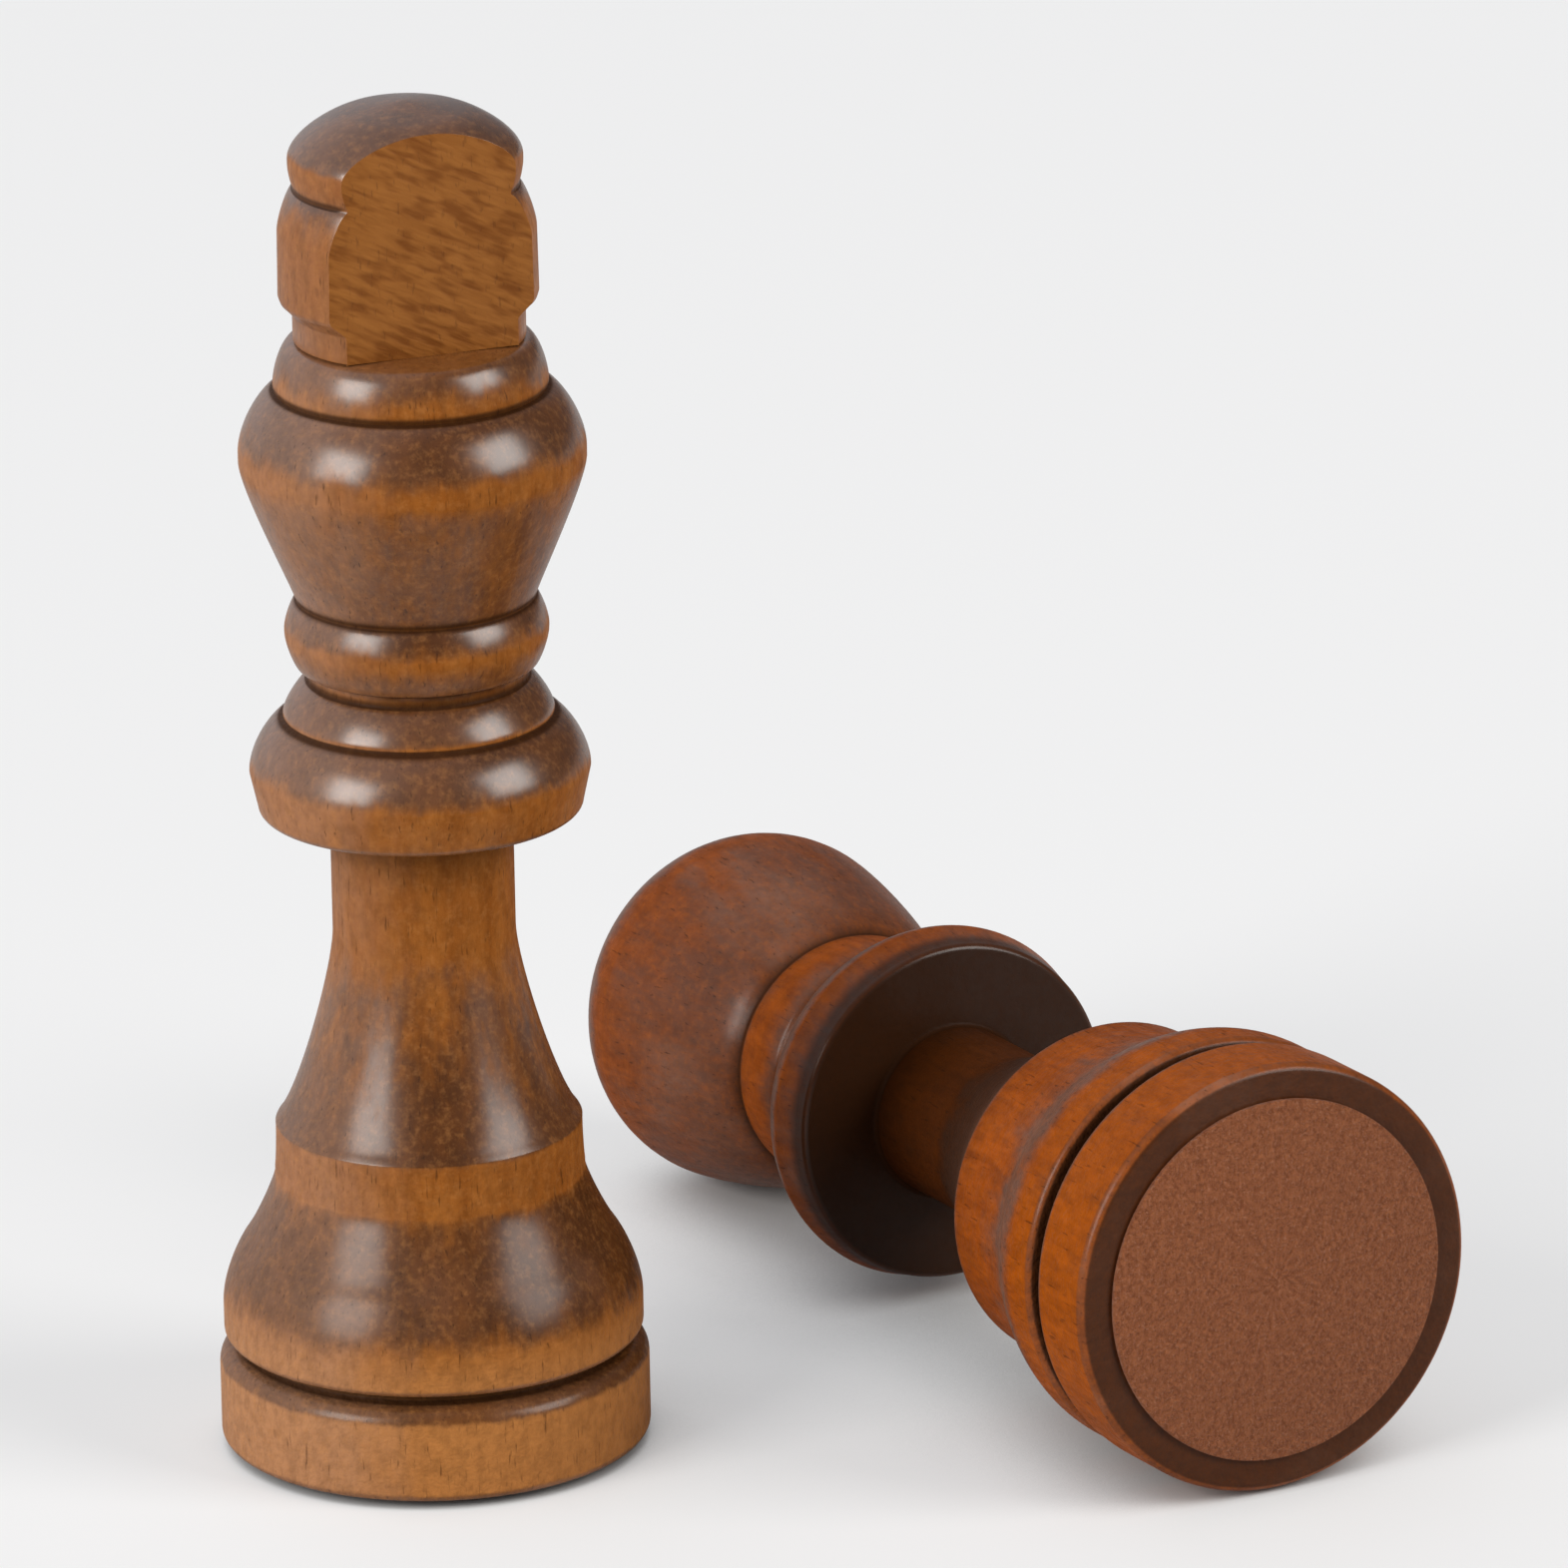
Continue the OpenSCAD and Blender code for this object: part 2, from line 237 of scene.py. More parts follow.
def grain_masks(shader, seed):
    """What runs along the stick. All but ragged go from 0 to 1."""
    place = shader.vector("ADD", shader.place(), (seed, 0.6 * seed, seed))

    def along(across, lengthwise, scale=1.0, detail=2.0, roughness=0.5):
        drawn_out = shader.stretched(place, across, across, lengthwise)
        return shader.noise(drawn_out, scale, detail, roughness)

    heart = (seed + HEART_X, seed * 0.6 + HEART_Y, 0)
    from_heart = shader.stretched(shader.vector("SUBTRACT", place, heart), 1, 1, 0.03)
    reach = shader.vector("LENGTH", from_heart, ORIGIN, output="Value")
    drift = along(1, 0.22, 0.22)
    rings = (reach * RING_RATE + drift * RING_DRIFT).math("SINE")
    return SimpleNamespace(
        place=place,
        along=along,
        sheets=rings.between(-0.5, 1.0),
        streaks=along(1.7, 0.3, 1.0, 4.0, 0.68).between(0.3, 0.72),
        mottle=along(1.5, 1.0, 1.0, 3.0, 0.6).between(0.35, 0.7),
        pores=along(5.5, 0.7).between(0.62, 0.76),
        blotch=along(1, 0.6, 0.3, 3.0).between(0.35, 0.68),
        # Patches where the painted reflection of the pale room is stronger.
        reflection_patches=along(1, 0.5, 0.14, 2.0, 0.45).between(0.5, 0.7),
        ragged=along(1, 0.55, 0.45, 3.0, 0.6) - 0.5,
    )


# %% [markdown]
# The stain, the lacquer and the painted shade come next. Where the surface faces up or down the grain
# ends, and ragged noise breaks the border, because the fibres drink by bundles. Some masks go by
# height above the base: a pale foot, the queen's stem, which gets painted shade, a crown that is made
# darker, and a lacquer that gets thicker upwards. The left side of the stick is painted paler, as
# painted light from the left. Faces that look straight down get painted shade. Creases get painted
# shade and rims are rubbed paler, from a number that each mesh carries, which is worked out further
# down.

# %% Where the stain, the lacquer and the painted shade went
FOOT_FADE = (7.0, 11.0)
STEM_RISE, STEM_END = (17.0, 25.0), (39.0, 40.0)
CROWN_FADE = (48.0, 56.0)
SOAK_FADE, LEAST_SOAKED = (8.0, 36.0), 0.32


def stain_and_shade_masks(shader, grain, up_from, down_from, down_to):
    """Masks from 0 to 1. Heights are in millimetres above the base."""
    own = shader.place()
    height_up = shader.part(own, "Z")
    faces_up = shader.faces_up()
    shade_and_wear = shader.attribute("shade_and_wear")
    up = (faces_up + grain.ragged * 0.5).between(*up_from)
    down = (faces_up * -1.0 + grain.ragged * 0.4).between(*down_from) * down_to
    streaked = (grain.streaks - 0.5) * 0.3 * (up + down)
    return SimpleNamespace(
        up=up,
        down=down,
        ends=(up + down + streaked).between(0.0, 1.0),
        foot=1 - height_up.between(*FOOT_FADE),
        # The stem up to the collar's underside, where the queen gets painted shade.
        stem_shade=height_up.between(*STEM_RISE) - height_up.between(*STEM_END),
        crown=height_up.between(*CROWN_FADE),
        soaked=height_up.between(*SOAK_FADE) * (1 - LEAST_SOAKED) + LEAST_SOAKED,
        # The left side of the piece, which is painted paler as painted light from the left.
        lit_left_side=(grain.ragged * 6.0 - shader.part(own, "X")).between(0.0, 7.0),
        # Faces that look straight down, which get painted shade.
        underside_shade=(faces_up * -1.0).between(0.8, 0.95),
        # Creases, which get painted shade and less lacquer.
        crease_shade=(shade_and_wear * -1.0).between(0.03, 0.7),
        rubbed=shade_and_wear.between(0.18, 0.8),
    )


# %% [markdown]
# A wood's colour is then a stack of layers, each with an amount and a tone, from the bare streaks to
# the painted shade in creases. The end grain has a pale grey mixed in, a painted reflection of the
# pale room. The lacquer is a clear coat. It lies mostly on the end grain, so each bulge mirrors the
# lamps and the upright sides stay deep in colour.

# %% Wood, from its tones
Tones = namedtuple("Tones", "light dark warm pale end_grain")
# A pale grey, mixed into the end grain as a painted reflection of the pale room.
REFLECTION_TONE = (0.27, 0.155, 0.11, 1)
# A pale tone, painted on the left side as painted light from the left.
LEFT_LIGHT_TONE = (0.5, 0.3, 0.2, 1)
# A deep brown for pores and mottle, and for the painted shade in creases, under downward faces and on
# the queen's stem.
DEEP = (0.03, 0.011, 0.004, 1)


def wood(name, tones, centre=ORIGIN, turn=ORIGIN, seed=0.0, pale_foot=0.6, painted_stem_shade=0.0,
         dark_crown=0.0, painted_left_light=0.0, reflection_grey=0.0, gloss=1.0, sheen=0.01,
         up_from=(0.0, 0.46), down_from=(0.0, 0.45), down_to=0.65):
    shader = Shader(name, centre, turn)
    grain = grain_masks(shader, seed)
    stain_and_shade = stain_and_shade_masks(shader, grain, up_from, down_from, down_to)
    glint = shader.noise(grain.place, 2.1, 2.0, 0.7).between(0.42, 0.8)
    # Painted reflection of the pale room on the end grain: stronger in patches and on faces that look
    # down, and on faces that look up by the given amount.
    painted_reflection = grain.reflection_patches * 0.16 + stain_and_shade.up * reflection_grey + stain_and_shade.down * (grain.reflection_patches * 0.85 + 0.12)
    stained_end = shader.mix(grain.blotch * 0.5, tones.end_grain, DEEP)

    colour = shader.mix(grain.streaks * 0.5 + grain.sheets * 0.25, tones.light, tones.dark)
    for amount, tone in (
        (grain.blotch * 0.35, tones.warm),
        (stain_and_shade.foot * pale_foot, tones.pale),
        # The stained end grain, with the painted reflection mixed in.
        (stain_and_shade.ends * 0.94, shader.mix(painted_reflection, stained_end, REFLECTION_TONE)),
        (stain_and_shade.crown * dark_crown, tones.end_grain),
        # Painted light on the left side, weaker on the end grain.
        (stain_and_shade.lit_left_side * (1 - stain_and_shade.ends * 0.45) * painted_left_light, LEFT_LIGHT_TONE),
        (glint * 0.24, tones.pale),
        (stain_and_shade.rubbed * 0.3, tones.light),
        (grain.mottle * 0.22 + grain.pores * 0.5, DEEP),
        # Painted shade: in creases, on faces that look straight down, and on the queen's stem.
        (stain_and_shade.crease_shade * 0.8, DEEP),
        (stain_and_shade.underside_shade * 0.8, DEEP),
        (stain_and_shade.stem_shade * painted_stem_shade, DEEP),
    ):
        colour = shader.mix(amount, colour, tone)

    tool_rings = grain.along(0.02, 3.4, 1.0, 3.0, 0.7)
    skin = shader.noise(grain.place, 1.6, 3.0, 0.6)
    peel = shader.noise(grain.place, 1.9, 2.0, 0.6) * (1.25 - stain_and_shade.soaked) * 6.0
    height = skin * 0.5 + tool_rings * 0.35 - grain.pores * 0.5 + grain.streaks * 0.25 + peel
    lacquer = (stain_and_shade.ends * stain_and_shade.soaked + stain_and_shade.rubbed * 0.4) * (1 - stain_and_shade.crease_shade)
    uneven = (grain.streaks - 0.5) * 0.1 + grain.pores * 0.14 + grain.blotch * 0.05
    return shader.finish(
        Base_Color=colour,
        Roughness=0.42 + uneven,
        Normal=shader.bump(height, 0.06, 0.5),
        Coat_Weight=lacquer * gloss + sheen,
        Coat_Roughness=0.26,
        Coat_IOR=1.6,
        Specular_IOR_Level=0.03,
    )


# %% The king's amber wood
AMBER = Tones(
    light=(0.36, 0.126, 0.024, 1),
    dark=(0.21, 0.06, 0.008, 1),
    warm=(0.28, 0.08, 0.009, 1),
    pale=(0.55, 0.24, 0.072, 1),
    end_grain=(0.112, 0.037, 0.009, 1),
)
# The king's left side gets painted light.
king_wood = wood("king wood", AMBER, seed=3.0, painted_left_light=0.38)
print("made", king_wood.name, "with", len(king_wood.node_tree.nodes), "nodes")

# %% [markdown]
# ## Outlines
# A turned piece is known by half of its outline, as a turner draws it: radius against
# height. Long curves are Hermite curves, which leave one point in a given direction and
# reach the next in another. All sizes are in millimetres and run up from the felt's
# underside. Where two curves meet in a crease, the second starts a tenth of a millimetre or
# so further on, which is the nick that the corner of a chisel leaves.

# %% Curves for an outline
def stretch(start, leave, end, arrive, steps=14):
    points = []
    for i in range(steps + 1):
        t = i / steps
        from_start = 2 * t**3 - 3 * t**2 + 1
        weights = (from_start, t**3 - 2 * t**2 + t, -2 * t**3 + 3 * t**2, t**3 - t**2)
        parts = (start, leave, end, arrive)
        points.append(tuple(sum(w * p[k] for w, p in zip(weights, parts)) for k in (0, 1)))
    return points


def arc(centre, radius, start, end, steps=6):
    angles = [math.radians(start + (end - start) * i / steps) for i in range(steps + 1)]
    return [(centre[0] + radius * math.cos(a), centre[1] + radius * math.sin(a)) for a in angles]


# %% Heights that both pieces share
FELT_H = 0.4
DISC_TOP = FELT_H + 5.75
DISC_ROUND = 1.15
DISC_SIDE = DISC_TOP - DISC_ROUND
GROOVE_H, GROOVE_DEPTH = 0.65, 1.1
RING_Z = DISC_TOP + GROOVE_H
SWELL_Z = RING_Z + 2.0
SWELL_H, SWELL_IN = 3.8, 1.35
FLARE_Z = SWELL_Z + SWELL_H
BAND_Z = FLARE_Z + 4.2
BAND_H, BAND_TAPER = 3.1, 0.1
BELL_Z, BELL_H = BAND_Z + BAND_H, 11.9
COLLAR_LOW_H, COLLAR_TOP_H, SHOULDER_H, NECK_H, BEAD_H = 2.5, 3.35, 2.2, 0.9, 4.05
COLLAR_STACK_H = COLLAR_LOW_H + COLLAR_TOP_H + SHOULDER_H + NECK_H + BEAD_H
BORE_R, BORE_H = 6.05, 12.3
TENON_PLAY, TENON_END_GAP = 0.05, 0.3
print("bell starts at", round(BELL_Z, 2), "mm")

# %% [markdown]
# The base is the same pattern on both pieces: a disc with rounded edges, a narrow groove cut
# with the corner of a chisel, a ring that swells over into a straight flare, and a band. The
# bore under it takes the metal slug, so the outline starts at the top of the bore and comes
# down its wall.

# %% Base, bell and stem
def base_line(base_r, ring_r, band_r, edge_r=0.6, ring_edge_r=0.5):
    groove_r = ring_r - GROOVE_DEPTH
    groove_round = GROOVE_H * 0.2
    flare_r = ring_r - SWELL_IN
    flare_slope, band_slope = (-1.8, 2.5), (-0.2, 1.24)
    line = [(0, FELT_H + BORE_H), (BORE_R, FELT_H + BORE_H), (BORE_R, FELT_H)]
    line += arc((base_r - edge_r, FELT_H + edge_r), edge_r, -90, 0)
    line += arc((base_r - DISC_ROUND, DISC_SIDE), DISC_ROUND, 0, 90, 10)
    line += [(groove_r, DISC_TOP + groove_round), (groove_r, RING_Z - groove_round)]
    line += arc((ring_r - ring_edge_r, RING_Z + ring_edge_r), ring_edge_r, -90, 0)
    line += stretch((ring_r, SWELL_Z), (0, SWELL_H * 0.9), (flare_r, FLARE_Z), flare_slope)
    line += stretch((flare_r - 0.05, FLARE_Z + 0.08), flare_slope, (band_r, BAND_Z), (-0.2, 2.1))
    line += stretch((band_r, BAND_Z + 0.3), band_slope, (band_r - BAND_TAPER, BELL_Z), (0.1, 1.24), 6)
    return line


def stem_line(band_r, stem_r, collar_z, dish=0.35):
    top = BELL_Z + BELL_H
    bell_foot = (band_r - BAND_TAPER - 0.05, BELL_Z + 0.1)
    line = stretch(bell_foot, (-3.9, 4.3), (stem_r, top), (0, BELL_H * 0.6), 20)
    line += [(stem_r, top + (collar_z - top) * t) for t in (0.3, 0.6)]
    return line + arc((stem_r + dish, collar_z), dish, 180, 90)


# %% [markdown]
# The collar's underside is flat, because the turner parts it with the side of a tool, and a
# little hollow towards the stem. Above its widest line it rolls over to a crease, and a
# shoulder, a short neck and a bead follow.

# %% Collar, shoulder, neck and bead
def collar_line(z, collar_r, neck_r, bead_r, crease, edge_r=0.45, taper=0.45, shoulder_step=2.1):
    widest = z + COLLAR_LOW_H
    crease_z = widest + COLLAR_TOP_H
    neck = crease_z + SHOULDER_H
    bead = neck + NECK_H
    crease_r = collar_r - shoulder_step
    neck_foot, neck_top = (neck_r - 0.05, neck + 0.15), (neck_r + 0.1, bead - 0.1)
    bead_foot = ((neck_r + bead_r) / 2 - 0.1, bead)
    bead_top = (bead_r - crease, bead + BEAD_H)
    line = arc((collar_r - taper - edge_r, z + edge_r), edge_r, -90, 0)
    line += stretch((collar_r, widest), (0, COLLAR_TOP_H), (crease_r, crease_z), (-3.2, 1.2))
    line += stretch((crease_r + 0.05, crease_z + 0.1), (0.3, 0.9), (neck_r, neck), (-1.6, 0.6))
    line += stretch(neck_foot, (-0.15, 0.4), neck_top, (0.3, 0.3), 6)
    line += stretch(bead_foot, (0.7, 0.5), (bead_r, bead + BEAD_H * 0.5), (0, 1.8), 8)
    line += stretch((bead_r, bead + BEAD_H * 0.55), (0, 1), bead_top, (-1.4 * crease, 0.5), 8)
    return line


# %% [markdown]
# ## From outline to turned piece
# Blender's spin turns the outline through a full circle, which is what the lathe does. The
# ends on the axis close as poles once their doubles are merged. The crisp edges that a chisel
# leaves are then bevelled by a tenth of a millimetre, because a real edge always catches a
# thin line of light, and a perfectly sharp one never does.

# %% Spin and crisp edges
TURNS = 144
MERGE_WITHIN = 0.002 * MM


def spun(line, turns=TURNS):
    mesh = bmesh.new()
    points = [mesh.verts.new((r * MM, 0, z * MM)) for r, z in line]
    edges = [mesh.edges.new(pair) for pair in zip(points[:-1], points[1:])]
    bmesh.ops.spin(
        mesh, geom=points + edges, cent=(0, 0, 0), axis=(0, 0, 1), dvec=(0, 0, 0),
        angle=2 * math.pi, steps=turns, use_merge=True, use_duplicate=False,
    )
    bmesh.ops.remove_doubles(mesh, verts=mesh.verts, dist=MERGE_WITHIN)
    bmesh.ops.recalc_face_normals(mesh, faces=mesh.faces)
    return mesh


def round_edges(mesh, edges, width, segments, material=-1):
    """Bevels the edges by a width in millimetres, and says how many there were."""
    bmesh.ops.bevel(
        mesh, geom=edges, offset=width * MM, offset_type="OFFSET", affect="EDGES",
        segments=segments, profile=0.5, material=material, clamp_overlap=True,
    )
    bmesh.ops.recalc_face_normals(mesh, faces=mesh.faces)
    return len(edges)


def soften(mesh, angle=32, width=0.1, segments=2):
    """Rounds every edge that is sharper than an angle in degrees."""
    least = math.radians(angle)
    joined = [e for e in mesh.edges if len(e.link_faces) == 2]
    return round_edges(mesh, [e for e in joined if e.calc_face_angle(0) > least], width, segments)


# %% [markdown]
# A crease gets painted shade, and a hand rubs the stain off a rim. Both follow from the shape, so the
# mesh can tell: where a vertex lies below its neighbours' plane the surface is hollow, and where it
# lies above it the surface is a rim. The result is kept on the mesh as one number per vertex, from -1
# in a crease to 1 on a rim, and blurred a little along the surface.

# %% Creases and rims as an attribute
SHORTEST_EDGE = 0.02 * MM
OWN_SHARE, NEAR_SHARE = 0.4, 0.6


def mark_shade_and_wear(mesh, gain=1.5, blur=10):
    mesh.verts.ensure_lookup_table()
    mesh.normal_update()
    amount = []
    for vert in mesh.verts:
        total = 0.0
        for edge in vert.link_edges:
            way = edge.other_vert(vert).co - vert.co
            length = max(way.length, SHORTEST_EDGE)
            total -= vert.normal.dot(way) / (length * length) * MM
        amount.append(total / max(len(vert.link_edges), 1))
    rings = [[e.other_vert(v).index for e in v.link_edges] for v in mesh.verts]
    for _ in range(blur):
        nearby = [sum(amount[k] for k in near) / len(near) for near in rings]
        amount = [OWN_SHARE * own + NEAR_SHARE * near for own, near in zip(amount, nearby)]
    layer = mesh.verts.layers.float.new("shade_and_wear")
    for vert in mesh.verts:
        vert[layer] = max(-1.0, min(1.0, amount[vert.index] * gain))


# %% A finished piece
SHARP_ABOVE = math.radians(48)


def piece(name, mesh, materials, body, replaced, move=None):
    if move is not None:
        mesh.transform(move)
    data = bpy.data.meshes.new(name)
    mesh.to_mesh(data)
    mesh.free()
    for polygon in data.polygons:
        polygon.use_smooth = True
    data.set_sharp_from_angle(angle=SHARP_ABOVE)
    for material in materials:
        data.materials.append(material)
    made = bpy.data.objects.new(name, data)
    bpy.context.collection.objects.link(made)
    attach(made, body)
    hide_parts(replaced)
    print(name, len(data.vertices), "vertices,", len(data.polygons), "faces")
    return made


# %% [markdown]
# ## The king's body
# The king's head is a vase that widens from a crease, turns over just above its widest line
# and closes to a half-round bead, the seat of the finial. A round bore in that seat takes
# the finial's tenon.

# %% King's sizes
KING_HEIGHT = 81.9
KING_BASE_R, KING_RING_R, KING_BAND_R, KING_STEM_R = 12.65, 12.35, 9.1, 5.35
KING_COLLAR_R, KING_NECK_R, KING_BEAD_R, KING_CREASE = 9.95, 6.5, 7.7, 0.75
KING_HEAD_R, KING_CAP_R = 10.1, 8.0
LOW_NOTCH_R, LOW_NOTCH_H, ARM_H, TOP_NOTCH_H, DOME_H = 6.75, 2.5, 4.9, 1.7, 5.0
CAP_H = 2.9
FINIAL_Z = KING_HEIGHT - DOME_H - TOP_NOTCH_H - ARM_H - LOW_NOTCH_H
CAP_Z = FINIAL_Z - CAP_H
HEAD_WIDEST = CAP_Z - 4.2
HEAD_Z = HEAD_WIDEST - 8.6
KING_COLLAR_Z = HEAD_Z - COLLAR_STACK_H
TENON_R, TENON_H = 2.5, 6.0
SEAT_FLAT_R = 4.6
print("the king's head starts at", round(HEAD_Z, 2), "mm")


# %% King's body
def king_head_line():
    foot = (KING_BEAD_R - KING_CREASE + 0.1, HEAD_Z + 0.2)
    cap_foot = (KING_CAP_R - 0.1, CAP_Z - 0.1)
    seat = (LOW_NOTCH_R + 0.1, FINIAL_Z - 0.1)
    line = stretch(foot, (1.2, 3.4), (KING_HEAD_R, HEAD_WIDEST - 0.3), (0.3, 4.3), 18)
    line += stretch((KING_HEAD_R, HEAD_WIDEST + 0.3), (0, 4.4), cap_foot, (-2.6, 0.5), 16)
    line += stretch((KING_CAP_R, CAP_Z + 0.1), (0, CAP_H * 0.85), seat, (-2, 0.4), 12)
    bore_r = TENON_R + TENON_PLAY
    bore_z = FINIAL_Z - TENON_H - TENON_END_GAP
    return line + [(SEAT_FLAT_R, FINIAL_Z), (bore_r, FINIAL_Z), (bore_r, bore_z), (0, bore_z)]


king_line = (
    base_line(KING_BASE_R, KING_RING_R, KING_BAND_R)
    + stem_line(KING_BAND_R, KING_STEM_R, KING_COLLAR_Z)
    + collar_line(KING_COLLAR_Z, KING_COLLAR_R, KING_NECK_R, KING_BEAD_R, KING_CREASE)
    + king_head_line()
)
king_mesh = spun(king_line)
print("crisp edges:", soften(king_mesh))
mark_shade_and_wear(king_mesh)
king_body = piece("king_turned_body", king_mesh, [king_wood], "king", "king_body")

# %% [markdown]
# ## The king's finial
# On this king the cross is a turned knob with two notches, sawn flat on two sides. The saw
# left its marks on the flats: short torn lines that fall to the right, under a thin and
# duller coat. The round is spun first, two cuts then take the sides off, and the cut faces
# get a material of their own. Sanding rounded the cut edges far more than the turned ones.

# %% Sawn flat wood
SLAB_TURN = math.radians(18)
SAW_FALL = math.radians(27)
SAWN_LIGHT = (0.33, 0.125, 0.026, 1)
SAWN_DARK = (0.18, 0.056, 0.009, 1)
SAWN_PORE = (0.09, 0.03, 0.008, 1)


def sawn_wood(name):
    shader = Shader(name)
    slab = shader.place(turn=(0, 0, SLAB_TURN))
    along_saw = shader.place(turn=(0, SAW_FALL, SLAB_TURN))
    torn = shader.noise(shader.stretched(along_saw, 0.6, 0.6, 2.0), 1.0, 1.0).between(0.3, 0.6)
    fine = shader.noise(shader.stretched(along_saw, 0.5, 1, 3.6), 1.0, 2.0, 0.6).between(0.35, 0.68)
    cloud = shader.noise(slab, 0.35, 3.0).between(0.35, 0.66)
    pores = shader.noise(shader.stretched(slab, 4.0, 4.0, 1.2), 1.0).between(0.6, 0.75)
    marks = torn * 0.62 + fine * 0.28 + cloud * 0.1
    colour = shader.mix(marks, SAWN_DARK, SAWN_LIGHT)
    colour = shader.mix(pores * 0.35, colour, SAWN_PORE)
    height = torn * 0.6 + fine * 0.35 - pores * 0.3
    return shader.finish(
        Base_Color=colour,
        Roughness=0.52 + pores * 0.12 - torn * 0.06,
        Normal=shader.bump(height, 0.08, 0.6),
        Coat_Weight=0.03 + cloud * 0.04,
        Coat_Roughness=0.3,
        Specular_IOR_Level=0.1,
    )


flat_wood = sawn_wood("sawn wood")
# The finial's left side gets a little painted light.
finial_wood = wood(
    "finial wood", AMBER, seed=5.0, pale_foot=0.0, sheen=0.2, painted_left_light=0.2,
    up_from=(0.12, 0.6), down_to=0.3,
)
print("made", flat_wood.name, "and", finial_wood.name)


# %% King's finial as it was turned
ARM_R, TOP_NOTCH_R, DOME_R = 7.55, 6.55, 6.8
FINIAL_TURNS = 160


def finial_line():
    arm_low = FINIAL_Z + LOW_NOTCH_H
    arm_top = arm_low + ARM_H
    notch = arm_top + TOP_NOTCH_H
    top = notch + DOME_H
    low_notch, arm_foot = (LOW_NOTCH_R, arm_low - 0.9), (ARM_R - 0.1, arm_low - 0.1)
    dome_foot, dome_side = (DOME_R, notch + DOME_H * 0.28), (DOME_R, notch + DOME_H * 0.34)
    dome_edge = (DOME_R * 0.62, top - DOME_H * 0.17)
    line = [(0, FINIAL_Z - TENON_H), (TENON_R, FINIAL_Z - TENON_H)]
    line += [(TENON_R, FINIAL_Z), (LOW_NOTCH_R, FINIAL_Z)]
    line += stretch(low_notch, (0.1, 0.3), arm_foot, (0.4, 0.3), 6)
    line += [(ARM_R, arm_low + 0.2)]
    line += stretch((ARM_R - 0.05, arm_top - 0.9), (0, 1.6), (TOP_NOTCH_R, notch), (-1.2, 0.8))
    line += stretch((TOP_NOTCH_R, notch + 0.15), (0.4, 0.9), dome_foot, (0, 0.9), 8)
    line += stretch(dome_side, (0, 2.9), dome_edge, (-2.6, 1.2))
    line += stretch((DOME_R * 0.55, top - DOME_H * 0.13), (-2, 0.7), (0, top), (-2, 0), 8)
    return line


# %% King's finial, sawn and sanded
SLAB_HALF = 4.3
SANDED_W = 0.45


def sawn(mesh, half, turn):
    """Cuts both sides off, closes each cut and gives it the second material."""
    for side in (1, -1):
        way = Vector((-math.sin(turn), math.cos(turn), 0)) * side
        bmesh.ops.bisect_plane(
            mesh, geom=mesh.verts[:] + mesh.edges[:] + mesh.faces[:], dist=1e-7,
            plane_co=way * half, plane_no=way, clear_outer=True,
        )
        rim = [e for e in mesh.edges if e.is_boundary]
        for face in bmesh.ops.edgenet_fill(mesh, edges=rim)["faces"]:
            face.material_index = 1
    return mesh


def sand_cut_edges(mesh, width, segments=5):
    """Rounds only the edges between a sawn face and a turned one, in the first material."""
    cut = [e for e in mesh.edges if len({f.material_index for f in e.link_faces}) == 2]
    return round_edges(mesh, cut, width, segments, material=0)


finial_mesh = sawn(spun(finial_line(), FINIAL_TURNS), SLAB_HALF * MM, SLAB_TURN)
print("sanded edges:", sand_cut_edges(finial_mesh, SANDED_W))
print("crisp edges:", soften(finial_mesh, 34, 0.1))
mark_shade_and_wear(finial_mesh)
finial_woods = [finial_wood, flat_wood]
piece("king_sawn_finial", finial_mesh, finial_woods, "king", "king_finial")

# %% [markdown]
# ## The queen lies down
# The queen is made upright like the king, on its own axis, and its finished mesh is then
# laid down: it leans on the rounded edge of its base and on the rim of its crown. One
# straight floor line touches both of these circles, which gives the slope. The same move,
# read backwards by a Mapping node, brings the grain pattern onto the queen's own axis.

# %% Queen's sizes
QUEEN_HEIGHT = 75.6
QUEEN_BASE_R, QUEEN_RING_R, QUEEN_BAND_R, QUEEN_STEM_R = 12.95, 12.8, 10.45, 5.2
QUEEN_COLLAR_R, QUEEN_NECK_R, QUEEN_BEAD_R, QUEEN_CREASE = 10.85, 7.3, 7.85, 0.25
CROWN_R, CROWN_H, CROWN_RIM_R, CROWN_DOME_H, BALL_R = 10.85, 11.9, 6.2, 1.8, 2.2
DOME_TOP = QUEEN_HEIGHT - 2 * BALL_R
CROWN_TOP = DOME_TOP - CROWN_DOME_H
CROWN_WIDEST = CROWN_TOP - CROWN_RIM_R
CROWN_Z = CROWN_WIDEST - CROWN_H
QUEEN_COLLAR_Z = CROWN_Z - COLLAR_STACK_H
PIP_R, PIP_H = 1.0, 4.0
print("the queen's crown starts at", round(CROWN_Z, 2), "mm")

# %% Queen's place on the floor
QUEEN_X, QUEEN_Y, QUEEN_HEADING = 49.0, -13.1, 117.1
disc_in = QUEEN_BASE_R - DISC_ROUND
rise, run = CROWN_WIDEST - DISC_SIDE, disc_in - (CROWN_R - CROWN_RIM_R)
lean = math.atan2(run, rise) - math.asin((CROWN_RIM_R - DISC_ROUND) / math.hypot(rise, run))
felt_height = DISC_SIDE * math.sin(lean) + disc_in * math.cos(lean) + DISC_ROUND
QUEEN_FELT = Vector((QUEEN_X, QUEEN_Y, felt_height)) * MM
QUEEN_TURN = Euler((0, math.radians(90) + lean, math.radians(QUEEN_HEADING)), "XYZ")
laid_down = Matrix.Translation(QUEEN_FELT) @ QUEEN_TURN.to_matrix().to_4x4()
